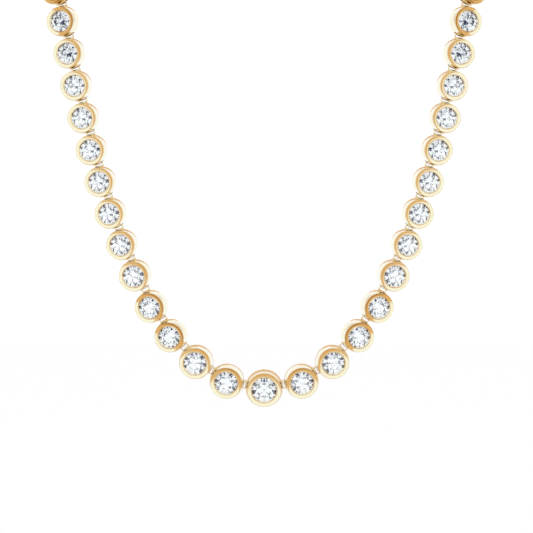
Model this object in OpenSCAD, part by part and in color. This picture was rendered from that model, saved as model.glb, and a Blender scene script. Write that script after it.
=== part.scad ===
/* [Chain] */
// Links on each side of the centre link
side_links = 34; // [33:1:35]
// Links on each side of the centre that are pieces of their own
front_links = 9; // [6:1:9]
// Radius of the hanging curve at its lowest point
curve_radius = 15.65; // [15.25:0.05:16.25]
// Length of chain from the centre to where it starts to level out towards the nape
level_from = 70; // [70:1:80]
// Gap between two plain cups
link_gap = 0.29; // [0.27:0.01:0.35]
// How far the faces of the side links turn outwards, in degrees
side_lean = 12; // [8:1:16]

/* [Setting] */
// Outer radius of a plain cup at its widest
cup_radius = 3; // [3:0.05:3.2]
// Radius of the round opening in which the stone shows, as a share of the cup's radius
window_share = 0.66; // [0.64:0.01:0.67]
// Height of a plain cup's back edge below the lip round the stone
cup_depth = 2.25; // [2.2:0.05:2.4]
// Height of the rim's crest above the lip
crest_height = 0.3; // [0.25:0.05:0.4]
// Radius of the open back of a plain cup
back_radius = 1.45; // [1.4:0.05:1.5]

/* [Loop] */
// Thickness of the loop's wire
wire = 0.26; // [0.26:0.02:0.32]
// Width of the loop from the middle of one leg to the middle of the other
loop_width = 1.44; // [1.4:0.02:1.5]
// How far the loops lie from the middle of a plain cup, towards the inner side of the chain
loop_shift = 0.65; // [0.5:0.05:0.7]
// Thickness of the pin that the loop hooks round
pin = 0.32; // [0.3:0.02:0.34]
// Clear height above and below the wire in its pocket
loop_play = 0.24; // [0.2:0.01:0.26]

/* [Stone] */
// Width of the table as a share of the stone's width
table_share = 0.57; // [0.53:0.01:0.62]
// Angle of the crown's main facets
crown_angle = 34.5; // [32:0.5:35]
// Angle of the pavilion's main facets
pavilion_angle = 40.75; // [40:0.25:41.5]
// How far the lip reaches over a plain cup's stone
lip_cover = 0.12; // [0.1:0.01:0.14]
// Clear space between a stone and its cup
stone_gap = 0.12; // [0.1:0.01:0.13]

/* [Clasp] */
// Length of the clasp between the middles of its round ends
clasp_reach = 6; // [5:0.5:8]
// Thickness of the clasp
clasp_height = 2.4; // [2.2:0.1:2.8]

/* [Hidden] */
$fn = 48;
GOLD = [0.91, 0.76, 0.47];
DIAMOND = [0.86, 0.92, 0.95];
// Columns of the table: size against a plain cup, gap to the next cup, lean of the face
SIZE = 0;
GAP = 1;
LEAN = 2;
// One row for each graded link, from the centre outwards. All links after them are plain.
GRADED = [
    [1.18, 0.26, 9],
    [1.09, 0.27, 13],
    [1.08, 0.43, 11],
    [1.045, 0.37, 18],
    [1.035, 0.41, 18],
    [1.03, 0.29, 13],
];
PLAIN = [1, link_gap, side_lean];
// Play between the loop and the pin, and between the loop and the end of its pocket
PLAY = 0.13;
// How far the middle of a pocket lies inside the cup's outline
POCKET_INSET = 0.28;
POCKET_RADIUS = loop_width / 2 + wire / 2 + PLAY + 0.02;
POCKET_HEIGHT = wire + 2 * loop_play;
MOUTH_SHIFT = 0.4;
MOUTH_FLARE = 0.2;
PIN_ROOT = 0.05;
// Depth of the loops below the lip of a plain cup
LOOP_DEPTH = 1.37;
LEG_ROOT = 0.7;
BAR_PLACE = 0.65;
// Roundings of a plain cup: the beaded lip, the hollow dish, the crest, the bulging wall and the back edge
LIP_R = 0.1;
LIP_RISE = 0.17;
LIP_FOOT = 20;
DISH_R = 2.6;
CREST_R = 0.08;
WALL_R = 10;
BACK_R = 0.3;
CREST_SHARE = 0.905;
ARC_STEPS = 4;
BORE_EDGE = 0.1;
GIRDLE = 0.08;
STAR_LENGTH = 0.5;
LOWER_LENGTH = 0.77;
// Share of the turn round the neck over which the heading eases in
EASE = 0.25;
CLASP_END = 0.82;
CLASP_EDGE = 0.5;
// The chain bends more at the straight clasp, so its pockets are taller
CLASP_POCKET = POCKET_HEIGHT + 0.16;
SIDES = ["left", "right"];

// Row of the table for a link
function row(i) = i < len(GRADED) ? GRADED[i] : PLAIN;
function size(i) = row(i)[SIZE];
function outer(i) = cup_radius * size(i);
// From a link's pocket to the middle of its cup, and on to the next link's pocket
function before(i) = outer(i) - POCKET_INSET;
function after(i) = outer(i) + row(i)[GAP] + POCKET_INSET;
function unit(angle, rise) = [cos(rise) * cos(angle), cos(rise) * sin(angle), sin(rise)];
function smooth(t) = t <= 0 ? 0 : t >= 1 ? 1 : t * t * (3 - 2 * t);
function eased(t) = t <= 0 ? 0 : (t < EASE ? t * t / (2 * EASE) : t - EASE / 2) / (1 - EASE / 2);
function sum_after(i) = i < 0 ? 0 : before(i) + after(i) + sum_after(i - 1);

// Length of chain from the centre link's middle to the clasp's middle
HALF_LENGTH = sum_after(side_links) - before(0) + clasp_reach - POCKET_INSET + cup_radius * CLASP_END;

// Slope of the chain at a length from its lowest point: a catenary that levels out at the nape
function slope(s) = atan(s / curve_radius)
    * (1 - smooth((s - level_from) / (HALF_LENGTH - level_from)));
// Heading of the chain round the neck, from across the front to across the nape
function heading(s, turn_from) = 180 * eased((s - turn_from) / (HALF_LENGTH - turn_from));

// One entry a link: its pocket's place, the chain's length there and its direction angles
function link_rows(turn_from) = [
    for (
        i = 1, s = after(0), at = [after(0), 0, 0];
        i <= side_links;
        at = at + (before(i) + after(i))
            * unit(heading(s + before(i), turn_from), slope(s + before(i))),
        s = s + before(i) + after(i),
        i = i + 1
    )
    [at, heading(s + before(i), turn_from), slope(s + before(i))]
];
function row_end(rows, i) = rows[i - 1][0] + (before(i) + after(i)) * unit(rows[i - 1][1], rows[i - 1][2]);
function chain_end(rows) =
    row_end(rows, side_links) - [clasp_reach + cup_radius * CLASP_END - POCKET_INSET, 0, 0];
// Place where the turn round the neck starts, halved down until the two sides meet at the nape
function meeting(low, high, steps) = steps == 0
    ? (low + high) / 2
    : chain_end(link_rows((low + high) / 2))[0] > 0
        ? meeting(low, (low + high) / 2, steps - 1)
        : meeting((low + high) / 2, high, steps - 1);
TURN_FROM = meeting(20, 100, 40);
ROWS = link_rows(TURN_FROM);
NAPE = chain_end(ROWS);

// Frame of a link: x along the chain, y to the inner side of the loop, z out of the face
function lean_at(i, angle) = max(0, row(i)[LEAN] - angle);
function frame(at, angle, rise, lean) =
    let (
        x = unit(angle, rise),
        flat = [sin(angle), -cos(angle), 0],
        inner = cross(flat, x),
        z = cos(lean) * flat - sin(lean) * inner,
        y = cross(z, x)
    )
    [
        [x[0], y[0], z[0], at[0]],
        [x[1], y[1], z[1], at[1]],
        [x[2], y[2], z[2], at[2]],
        [0, 0, 0, 1],
    ];
// Frame of a link halfway between its two joints
function link_frame(i) = i == 0
    ? frame([0, 0, 0], 0, 0, row(0)[LEAN])
    : let (r = ROWS[i - 1])
        frame(r[0] + before(i) * unit(r[1], r[2]), r[1], r[2], lean_at(i, r[1]));

// The necklace's origin is on the skin at the nape, under the middle of the clasp
module from_nape() {
    translate([0, clasp_height / 2, 0]) translate(-NAPE) children();
}

module on_side(side) {
    if (side == "left") mirror([1, 0, 0]) children();
    else children();
}

function on_circle(c, r, angle) = c + r * [cos(angle), sin(angle)];
// Point at two distances from two centres, to the right of the line between them
function crossing(c1, r1, c2, r2) =
    let (
        d = norm(c2 - c1),
        u = (c2 - c1) / d,
        a = (r1 * r1 - r2 * r2 + d * d) / (2 * d)
    )
    c1 + a * u + sqrt(r1 * r1 - a * a) * [u[1], -u[0]];
function direction(from, to) = atan2(to[1] - from[1], to[0] - from[0]);

function girdle_radius(k) = (cup_radius * window_share + lip_cover) * k;
// Height of the girdle's upper edge, a stone's gap below the lip
function girdle_top(k) = -(lip_cover * k + stone_gap * 1.1);
// Height of the seat at a radius, a stone's gap outside the pavilion
function seat_height(k, r) = girdle_top(k) - GIRDLE * k
    - (girdle_radius(k) + stone_gap / sin(pavilion_angle) - r) * tan(pavilion_angle);

// Points along an arc from one angle to another
function arc(c, r, from, to) = [for (j = [0:ARC_STEPS]) on_circle(c, r, from + (to - from) * j / ARC_STEPS)];

// Section of a cup: beaded lip, dished rim, crest, wall, back edge, open back, seat and the stone's space
module cup_section(k) {
    window = cup_radius * window_share * k;
    lip = [window + LIP_R * k, LIP_RISE * k];
    foot = on_circle(lip, LIP_R * k, LIP_FOOT);
    crest = [cup_radius * CREST_SHARE, crest_height - CREST_R] * k;
    back = [cup_radius - BACK_R, BACK_R - cup_depth] * k;
    dish = crossing(crest, (DISH_R + CREST_R) * k, foot, DISH_R * k);
    wall = crossing(crest, (WALL_R - CREST_R) * k, back, (WALL_R - BACK_R) * k);
    wide = girdle_radius(k) + stone_gap;
    bore = back_radius * k;
    polygon(concat(
        [[window, 0]],
        arc(lip, LIP_R * k, 180, LIP_FOOT),
        arc(dish, DISH_R * k, direction(dish, foot), direction(dish, crest)),
        arc(crest, CREST_R * k, direction(crest, dish), direction(wall, crest)),
        arc(wall, WALL_R * k, direction(wall, crest), direction(wall, back)),
        arc(back, BACK_R * k, direction(wall, back), -90),
        [[bore + BORE_EDGE, -cup_depth * k], [bore, BORE_EDGE - cup_depth * k]],
        [[bore, seat_height(k, bore)], [wide, seat_height(k, wide)]],
        [[wide, girdle_top(k) + stone_gap]]
    ));
}

// Flat round pocket for a loop with a wider mouth, open at the side, and the pin across it
module pocket(x, inward, height = POCKET_HEIGHT) {
    for (disc = [[x, POCKET_RADIUS], [x - inward * MOUTH_SHIFT, POCKET_RADIUS + MOUTH_FLARE]])
        translate([disc[0], 0, -height / 2]) cylinder(h = height, r = disc[1]);
}
module pocket_pin(x, inward, height = POCKET_HEIGHT) {
    reach = loop_width / 2 - wire / 2 - PLAY - pin / 2;
    translate([x + inward * reach, 0, -height / 2 - PIN_ROOT])
        cylinder(h = height + 2 * PIN_ROOT, d = pin);
}

// U of wire from inside one cup's wall to the middle of the next one's pocket, and a bar along the wall
module loop(root, tip) {
    translate([root + BAR_PLACE, 0, 0]) rotate([90, 0, 0]) cylinder(h = loop_width, d = wire, center = true);
    for (y = [-1, 1])
        translate([root, y * loop_width / 2, 0]) rotate([0, 90, 0]) cylinder(h = tip - root, d = wire);
    translate([tip, 0, 0]) rotate([0, 0, -90])
        rotate_extrude(angle = 180) translate([loop_width / 2, 0]) circle(d = wire);
}

// Middle of a cup's lip in its link's frame
function cup_place(k) = [0, -loop_shift * k, LOOP_DEPTH * k];
// Cup of a link, beside the chain's line, which passes the pockets' middles
module cup(i) {
    k = size(i);
    difference() {
        translate(cup_place(k)) rotate([0, 0, 90]) rotate_extrude() cup_section(k);
        if (i > 0) pocket(-before(i), 1);
    }
    if (i > 0) pocket_pin(-before(i), 1);
}

module setting(i) {
    color(GOLD) multmatrix(link_frame(i)) {
        cup(i);
        loop(outer(i) - LEG_ROOT, after(i));
        if (i == 0) mirror([1, 0, 0]) loop(outer(i) - LEG_ROOT, after(i));
    }
}

// Round brilliant cut: 16 points round the girdle, 8 each for the table and its stars
function ring(r, z, n, from) = [
    for (j = [0:n - 1]) let (turn = from + j * 360 / n) [r * cos(turn), r * sin(turn), z]
];
module brilliant(r) {
    crown = (1 - table_share) * r * tan(crown_angle);
    depth = r * tan(pavilion_angle);
    girdle = GIRDLE * r / girdle_radius(1);
    table = table_share * r;
    star = table * cos(22.5) + STAR_LENGTH * r * (1 - table_share * cos(22.5));
    star_z = crown - (star * cos(22.5) - table) * tan(crown_angle);
    low = (1 - LOWER_LENGTH) * r;
    low_z = -girdle - depth + low * cos(22.5) * tan(pavilion_angle);
    points = concat(
        ring(table, crown, 8, 0),
        ring(star, star_z, 8, 22.5),
        ring(r, 0, 16, 0),
        ring(r, -girdle, 16, 0),
        ring(low, low_z, 8, 22.5),
        [[0, 0, -girdle - depth]]
    );
    t = 0;
    s = 8;
    g = 16;
    h = 32;
    p = 48;
    culet = 56;
    faces = concat(
        [[for (j = [7:-1:0]) t + j]],
        [for (j = [0:7]) [t + j, t + (j + 1) % 8, s + j]],
        [for (j = [0:7]) [t + j, s + j, g + 2 * j, s + (j + 7) % 8]],
        [for (j = [0:7]) [s + j, g + 2 * j + 1, g + 2 * j]],
        [for (j = [0:7]) [s + j, g + (2 * j + 2) % 16, g + 2 * j + 1]],
        [for (j = [0:15]) [g + j, g + (j + 1) % 16, h + (j + 1) % 16, h + j]],
        [for (j = [0:7]) [p + j, h + 2 * j, h + 2 * j + 1]],
        [for (j = [0:7]) [p + j, h + 2 * j + 1, h + (2 * j + 2) % 16]],
        [for (j = [0:7]) [culet, p + (j + 7) % 8, h + 2 * j, p + j]]
    );
    polyhedron(points, faces);
}

// Stone of a link, with its girdle just below the lip
module stone(i) {
    k = size(i);
    color(DIAMOND) multmatrix(link_frame(i))
        translate(cup_place(k) + [0, 0, girdle_top(k)])
        brilliant(girdle_radius(k));
}

// Plain clasp: two round ends joined by a straight body, with a pocket and pin at each end
module clasp() {
    end = cup_radius * CLASP_END;
    hook = clasp_reach + end - POCKET_INSET;
    color(GOLD) from_nape() multmatrix(frame(NAPE, 180, 0, 0)) {
        difference() {
            clasp_body(end);
            for (side = [-1, 1]) pocket(side * hook, -side, CLASP_POCKET);
        }
        for (side = [-1, 1]) pocket_pin(side * hook, -side, CLASP_POCKET);
    }
}
// Half of the clasp's cross-section, with rounded edges
function clasp_section(end) = concat(
    [[0, clasp_height / 2]],
    arc([end - CLASP_EDGE, clasp_height / 2 - CLASP_EDGE], CLASP_EDGE, 90, 0),
    arc([end - CLASP_EDGE, CLASP_EDGE - clasp_height / 2], CLASP_EDGE, 0, -90),
    [[0, -clasp_height / 2]]
);
module clasp_body(end) {
    half = clasp_section(end);
    for (turn = [-90, 90])
        rotate([0, 0, turn]) translate([0, clasp_reach, 0]) rotate_extrude(angle = 180) polygon(half);
    for (turn = [0, 180])
        rotate([0, 0, turn]) rotate([90, 0, 90])
        linear_extrude(2 * clasp_reach, center = true) polygon(half);
}

for (side = SIDES) {
    for (i = [1:front_links]) {
        from_nape() on_side(side) setting(i);
        from_nape() on_side(side) stone(i);
    }
    from_nape() on_side(side) for (i = [front_links + 1:side_links]) setting(i);
    from_nape() on_side(side) for (i = [front_links + 1:side_links]) stone(i);
}
from_nape() setting(0);  // center_setting
from_nape() stone(0);  // center_stone
clasp();
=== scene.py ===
"""Dresses a diamond necklace: gold settings, cut stones and the studio round them."""

import math
import bpy
from bpy.props import FloatProperty, FloatVectorProperty, PointerProperty
from mathutils import Euler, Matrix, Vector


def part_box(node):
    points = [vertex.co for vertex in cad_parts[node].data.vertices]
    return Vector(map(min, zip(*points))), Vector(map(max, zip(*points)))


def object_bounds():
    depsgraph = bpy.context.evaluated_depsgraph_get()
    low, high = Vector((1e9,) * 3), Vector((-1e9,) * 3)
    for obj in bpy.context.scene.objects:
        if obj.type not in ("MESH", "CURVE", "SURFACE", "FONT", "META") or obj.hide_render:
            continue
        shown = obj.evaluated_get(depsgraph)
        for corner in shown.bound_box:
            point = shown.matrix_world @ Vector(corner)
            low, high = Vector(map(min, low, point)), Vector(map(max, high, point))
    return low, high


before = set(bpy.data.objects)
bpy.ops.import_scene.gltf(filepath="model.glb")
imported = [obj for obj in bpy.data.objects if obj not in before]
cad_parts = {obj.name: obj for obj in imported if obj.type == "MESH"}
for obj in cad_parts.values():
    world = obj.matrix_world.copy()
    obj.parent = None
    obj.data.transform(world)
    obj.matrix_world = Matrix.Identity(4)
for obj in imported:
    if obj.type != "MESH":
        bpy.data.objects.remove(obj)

bl_info = {
    "name": "Diamond necklace",
    "version": (1, 0, 0),
    "blender": (4, 5, 0),
    "location": "3D View > Sidebar > Necklace",
    "description": "Finishes the settings and stones of a diamond necklace",
    "category": "Object",
}

CAD_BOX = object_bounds()
# Names of the stones, and of the settings and the clasp
STONES = sorted(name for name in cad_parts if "stone" in name)
METAL = sorted(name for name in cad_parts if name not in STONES)
WHITE = (1, 1, 1, 1)
# Deep blue of the dark places in the light that the stones gather
NAVY = (0.010, 0.025, 0.065)
# Degrees above the camera of the middle of the light on the metal
METAL_TILT = 13
# Degrees from that middle, and the light's red, green and blue there
METAL_RINGS = [
    (0, 0.79, 0.89, 0.98),
    (41, 0.79, 0.89, 0.98),
    (44, 0.61, 0.43, 0.22),
    (58, 0.59, 0.41, 0.21),
    (65, 0.36, 0.20, 0.08),
    (104, 0.36, 0.20, 0.08),
    (118, 0.80, 0.90, 1.10),
]
# Cards in that light: degrees across and up from the camera, half of the width, and the colour
METAL_CARDS = [(180, 11, 22, 0.60, 0.42, 0.26)]
# The same for the light that the stones gather
STONE_TILT = -2
STONE_RINGS = [
    (0, 0.65, 0.68, 0.69),
    (11, 0.65, 0.68, 0.69),
    (11.6, *NAVY),
    (13.8, *NAVY),
    (14.4, 0.98, 1.01, 1.03),
]
STONE_CARDS = [
    (0, 50, 32, *NAVY),
    (-38, 18, 17, *NAVY),
    (38, 18, 17, *NAVY),
]
# Degrees over which a card fades out at its edge
CARD_FADE = 2
# Waves to the metre of the gold's warmer patches, its duller patches and its polishing marks
WARM_WAVES = 260
DULL_WAVES = 900
MARK_WAVES = 5200
MARK_STRENGTH = 0.25
# Waves to the metre of the faint tint in the stones
TINT_WAVES = 700
# Noise at which the gold's patches start and are full, and the same for the stones' tint
GOLD_PATCHES = (0.35, 0.7)
STONE_TINTS = (0.35, 0.65)
# Metres from the middle of the centre stone to the camera's axis, sideways and up
CAMERA_ASIDE = 0.00044
CAMERA_RISE = 0.0234
SENSOR_WIDTH = 36
# Nearest and farthest distance that the camera sees, in metres
CAMERA_SIGHT = (0.01, 20)
# Width, colour and roughness of the floor's paper
FLOOR_WIDTH = 8
PAPER_COLOUR = (0.95, 0.95, 0.95, 1)
PAPER_ROUGHNESS = 0.9
# Places of the two colours among a mix node's inputs, and of the mixed colour among its outputs
FIRST_COLOUR = 6
SECOND_COLOUR = 7
MIXED_COLOUR = 2


class GoldFinish(bpy.types.PropertyGroup):
    """Polished gold of the settings and the clasp."""

    colour: FloatVectorProperty(
        name="Gold",
        description="Colour of the polished gold",
        subtype="COLOR",
        size=3,
        min=0,
        max=1,
        default=(0.94, 0.80, 0.54),
    )
    deep_colour: FloatVectorProperty(
        name="Deep gold",
        description="Colour of the warmer patches in the gold",
        subtype="COLOR",
        size=3,
        min=0,
        max=1,
        default=(0.92, 0.77, 0.49),
    )
    polish: FloatProperty(
        name="Polish",
        description="Roughness of the gold where it is polished best",
        subtype="FACTOR",
        min=0,
        max=1,
        default=0.06,
    )
    haze: FloatProperty(
        name="Haze",
        description="Roughness of the gold where the polish is dullest",
        subtype="FACTOR",
        min=0,
        max=1,
        default=0.14,
    )
    scratch_depth: FloatProperty(
        name="Scratch depth",
        description="Depth of the fine polishing marks",
        subtype="DISTANCE",
        unit="LENGTH",
        min=0,
        default=0.000002,
    )


class StoneFinish(bpy.types.PropertyGroup):
    """Cut and polished diamond."""

    colour: FloatVectorProperty(
        name="Diamond",
        description="Tint of the light that passes through a stone",
        subtype="COLOR",
        size=3,
        min=0,
        max=1,
        default=(0.97, 0.99, 1.0),
    )
    index: FloatProperty(
        name="Refraction",
        description="Index of refraction of the stones",
        min=1,
        max=3,
        default=2.42,
    )


class Studio(bpy.types.PropertyGroup):
    """Camera and light."""

    view_distance: FloatProperty(
        name="Camera distance",
        description="Distance from the camera to the face of the centre stone",
        subtype="DISTANCE",
        unit="LENGTH",
        min=0.1,
        default=0.8,
    )
    picture_width: FloatProperty(
        name="Picture width",
        description="Width of the picture at the centre stone",
        subtype="DISTANCE",
        unit="LENGTH",
        min=0.01,
        default=0.10127,
    )
    brightness: FloatProperty(
        name="Brightness",
        description="Strength of the soft light round the necklace",
        min=0,
        default=1.3,
    )
    sparkle: FloatProperty(
        name="Sparkle",
        description="Strength of the light that the stones gather",
        min=0,
        default=1.18,
    )
    paper_light: FloatProperty(
        name="Paper light",
        description="Strength of the white light behind the necklace and on the floor",
        min=0,
        default=1.12,
    )
    floor_drop: FloatProperty(
        name="Floor drop",
        description="Height of the necklace's lowest point above the floor",
        subtype="DISTANCE",
        unit="LENGTH",
        min=0,
        default=0.06,
    )


def add_node(tree, kind, **values):
    """A shader node with its properties and input values set by name."""
    node = tree.nodes.new(kind)
    for name, value in values.items():
        key = name.replace("_", " ")
        if key in node.inputs:
            node.inputs[key].default_value = value
        else:
            setattr(node, name, value)
    return node


def noise(tree, place, scale, detail=2.0):
    """Noise on the piece's own coordinates, at a number of waves to the metre."""
    texture = add_node(tree, "ShaderNodeTexNoise", Detail=detail)
    texture.inputs["Scale"].default_value = scale
    tree.links.new(place, texture.inputs["Vector"])
    return texture.outputs["Fac"]


def remap(tree, value, low, high, to_low, to_high):
    """A value mapped from one range to another and held inside it."""
    node = tree.nodes.new("ShaderNodeMapRange")
    for name, number in zip(("From Min", "From Max", "To Min", "To Max"), (low, high, to_low, to_high)):
        node.inputs[name].default_value = number
    tree.links.new(value, node.inputs["Value"])
    return node.outputs["Result"]


def gold_material(finish):
    """Polished gold with warmer and duller patches and fine polishing marks."""
    material = bpy.data.materials.new("polished_gold")
    material.use_nodes = True
    tree = material.node_tree
    shader = tree.nodes["Principled BSDF"]
    shader.inputs["Metallic"].default_value = 1
    place = tree.nodes.new("ShaderNodeTexCoord").outputs["Object"]

    warmth = add_node(tree, "ShaderNodeMix", data_type="RGBA")
    warmth.inputs[FIRST_COLOUR].default_value = (*finish.colour, 1)
    warmth.inputs[SECOND_COLOUR].default_value = (*finish.deep_colour, 1)
    patches = noise(tree, place, WARM_WAVES)
    tree.links.new(remap(tree, patches, *GOLD_PATCHES, 0, 1), warmth.inputs["Factor"])
    tree.links.new(warmth.outputs[MIXED_COLOUR], shader.inputs["Base Color"])

    wiped = noise(tree, place, DULL_WAVES, detail=3)
    dullness = remap(tree, wiped, *GOLD_PATCHES, finish.polish, finish.haze)
    tree.links.new(dullness, shader.inputs["Roughness"])

    marks = add_node(tree, "ShaderNodeBump", Strength=MARK_STRENGTH)
    marks.inputs["Distance"].default_value = finish.scratch_depth
    tree.links.new(noise(tree, place, MARK_WAVES, detail=4), marks.inputs["Height"])
    tree.links.new(marks.outputs["Normal"], shader.inputs["Normal"])
    return material


def diamond_material(finish):
    """Clear diamond with a faint tint that comes and goes."""
    material = bpy.data.materials.new("cut_diamond")
    material.use_nodes = True
    tree = material.node_tree
    shader = tree.nodes["Principled BSDF"]
    shader.inputs["Transmission Weight"].default_value = 1
    shader.inputs["IOR"].default_value = finish.index
    shader.inputs["Roughness"].default_value = 0
    place = tree.nodes.new("ShaderNodeTexCoord").outputs["Object"]

    tint = add_node(tree, "ShaderNodeMix", data_type="RGBA")
    tint.inputs[FIRST_COLOUR].default_value = (*finish.colour, 1)
    tint.inputs[SECOND_COLOUR].default_value = WHITE
    patches = noise(tree, place, TINT_WAVES)
    tree.links.new(remap(tree, patches, *STONE_TINTS, 0, 1), tint.inputs["Factor"])
    tree.links.new(tint.outputs[MIXED_COLOUR], shader.inputs["Base Color"])
    return material


def light_way(across, up):
    """Direction at a number of degrees across and up from the camera's side."""
    across, up = math.radians(across), math.radians(up)
    return (math.cos(up) * math.sin(across), -math.cos(up) * math.cos(across), math.sin(up))


def nearness(tree, across, up):
    """Cosine of the angle between a ray and a direction."""
    way = tree.nodes.new("ShaderNodeTexCoord").outputs["Generated"]
    dot = add_node(tree, "ShaderNodeVectorMath", operation="DOT_PRODUCT")
    dot.inputs[1].default_value = light_way(across, up)
    tree.links.new(way, dot.inputs[0])
    return dot.outputs["Value"]


def light_rings(tree, tilt, rings):
    """Light in rings round a direction, from rows of degrees, red, green and blue."""
    ramp = tree.nodes.new("ShaderNodeValToRGB")
    elements = ramp.color_ramp.elements
    while len(elements) < len(rings):
        elements.new(0.5)
    for element, (degrees, *colour) in zip(elements, sorted(rings, reverse=True)):
        element.position = (1 + math.cos(math.radians(degrees))) / 2
        element.color = (*colour, 1)
    tree.links.new(remap(tree, nearness(tree, 0, tilt), -1, 1, 0, 1), ramp.inputs["Fac"])
    return ramp.outputs["Color"]


def with_card(tree, light, across, up, width, *colour):
    """A light with one round card in it."""
    far, near = (math.cos(math.radians(width + edge)) for edge in (CARD_FADE, 0))
    card = add_node(tree, "ShaderNodeMix", data_type="RGBA")
    tree.links.new(remap(tree, nearness(tree, across, up), far, near, 0, 1), card.inputs["Factor"])
    tree.links.new(light, card.inputs[FIRST_COLOUR])
    card.inputs[SECOND_COLOUR].default_value = (*colour, 1)
    return card.outputs[MIXED_COLOUR]


def light_tent(tree, tilt, rings, cards, strength):
    """Light all round the necklace, from its rings and the cards in them."""
    light = light_rings(tree, tilt, rings)
    for card in cards:
        light = with_card(tree, light, *card)
    source = add_node(tree, "ShaderNodeBackground", Strength=strength)
    tree.links.new(light, source.inputs["Color"])
    return source.outputs[0]


def soft_light_world(studio):
    """White behind the necklace, and soft light round it that the gold and the stones gather."""
    world = bpy.data.worlds.new("light_tent")
    world.use_nodes = True
    tree = world.node_tree
    tree.nodes.clear()
    rays = tree.nodes.new("ShaderNodeLightPath").outputs
    output = tree.nodes.new("ShaderNodeOutputWorld")

    shader = light_tent(tree, METAL_TILT, METAL_RINGS, METAL_CARDS, studio.brightness)
    through = light_tent(tree, STONE_TILT, STONE_RINGS, STONE_CARDS, studio.sparkle)
    backdrop = add_node(tree, "ShaderNodeBackground", Strength=studio.paper_light)
    backdrop.inputs["Color"].default_value = WHITE
    paper = backdrop.outputs[0]
    # The stones gather one light and the gold another, and the floor and the ground are white
    for share, other in (("Is Singular Ray", through), ("Is Diffuse Ray", paper), ("Is Camera Ray", paper)):
        mix = tree.nodes.new("ShaderNodeMixShader")
        tree.links.new(rays[share], mix.inputs["Fac"])
        tree.links.new(shader, mix.inputs[1])
        tree.links.new(other, mix.inputs[2])
        shader = mix.outputs[0]
    tree.links.new(shader, output.inputs["Surface"])
    return world


class NECKLACE_OT_finish_metal(bpy.types.Operator):
    """Gives the settings and the clasp their polished gold"""

    bl_idname = "necklace.finish_metal"
    bl_label = "Settings and clasp"

    def execute(self, context):
        gold = gold_material(context.scene.necklace_gold)
        for name in METAL:
            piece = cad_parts[name]
            # A stone in its cup gathers the light round the necklace, not the dark of the cup
            piece.visible_transmission = False
            piece.data.materials.clear()
            piece.data.materials.append(gold)
        return {"FINISHED"}


class NECKLACE_OT_finish_stones(bpy.types.Operator):
    """Gives the stones their clear cut diamond"""

    bl_idname = "necklace.finish_stones"
    bl_label = "Stones"

    def execute(self, context):
        diamond = diamond_material(context.scene.necklace_stone)
        for name in STONES:
            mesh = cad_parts[name].data
            mesh.materials.clear()
            mesh.materials.append(diamond)
        return {"FINISHED"}


class NECKLACE_OT_make_studio(bpy.types.Operator):
    """Makes the floor, the soft light and the camera"""

    bl_idname = "necklace.make_studio"
    bl_label = "Studio"

    def execute(self, context):
        studio = context.scene.necklace_studio
        context.scene.world = soft_light_world(studio)
        low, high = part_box("center_stone")
        middle = (low + high) / 2

        camera = bpy.data.objects.new("camera", bpy.data.cameras.new("camera"))
        context.scene.collection.objects.link(camera)
        camera.location = (CAMERA_ASIDE, low.y - studio.view_distance, middle.z + CAMERA_RISE)
        camera.rotation_euler = Euler((math.pi / 2, 0, 0))
        camera.data.sensor_width = SENSOR_WIDTH
        camera.data.lens = SENSOR_WIDTH * studio.view_distance / studio.picture_width
        camera.data.clip_start, camera.data.clip_end = CAMERA_SIGHT
        context.scene.camera = camera
        context.scene.view_settings.view_transform = "Standard"

        level = CAD_BOX[0].z - studio.floor_drop
        bpy.ops.mesh.primitive_plane_add(size=FLOOR_WIDTH, location=(0, 0, level))
        floor = context.object
        floor.name = "floor"
        paper = bpy.data.materials.new("pale_paper")
        paper.use_nodes = True
        surface = paper.node_tree.nodes["Principled BSDF"].inputs
        surface["Base Color"].default_value = PAPER_COLOUR
        surface["Roughness"].default_value = PAPER_ROUGHNESS
        floor.data.materials.append(paper)
        # The gold and the stones gather the light all round, as if there were no floor
        floor.visible_glossy = False
        floor.visible_transmission = False
        return {"FINISHED"}


class NECKLACE_PT_panel(bpy.types.Panel):
    """Necklace's pieces and finishes"""

    bl_idname = "NECKLACE_PT_panel"
    bl_label = "Necklace"
    bl_space_type = "VIEW_3D"
    bl_region_type = "UI"
    bl_category = "Necklace"

    def draw(self, context):
        scene = context.scene
        layout = self.layout
        for finish in (scene.necklace_gold, scene.necklace_stone, scene.necklace_studio):
            for name in finish.__annotations__:
                layout.prop(finish, name)
        for operator in OPERATORS:
            layout.operator(operator.bl_idname)


GROUPS = {
    "necklace_gold": GoldFinish,
    "necklace_stone": StoneFinish,
    "necklace_studio": Studio,
}
OPERATORS = (
    NECKLACE_OT_finish_metal,
    NECKLACE_OT_finish_stones,
    NECKLACE_OT_make_studio,
)


def register():
    for cls in (*GROUPS.values(), *OPERATORS, NECKLACE_PT_panel):
        bpy.utils.register_class(cls)
    for name, group in GROUPS.items():
        setattr(bpy.types.Scene, name, PointerProperty(type=group))


def unregister():
    for name in GROUPS:
        delattr(bpy.types.Scene, name)
    for cls in reversed((*GROUPS.values(), *OPERATORS, NECKLACE_PT_panel)):
        bpy.utils.unregister_class(cls)


def main():
    register()
    bpy.ops.necklace.finish_metal()
    bpy.ops.necklace.finish_stones()
    bpy.ops.necklace.make_studio()


if __name__ == "__main__":
    main()
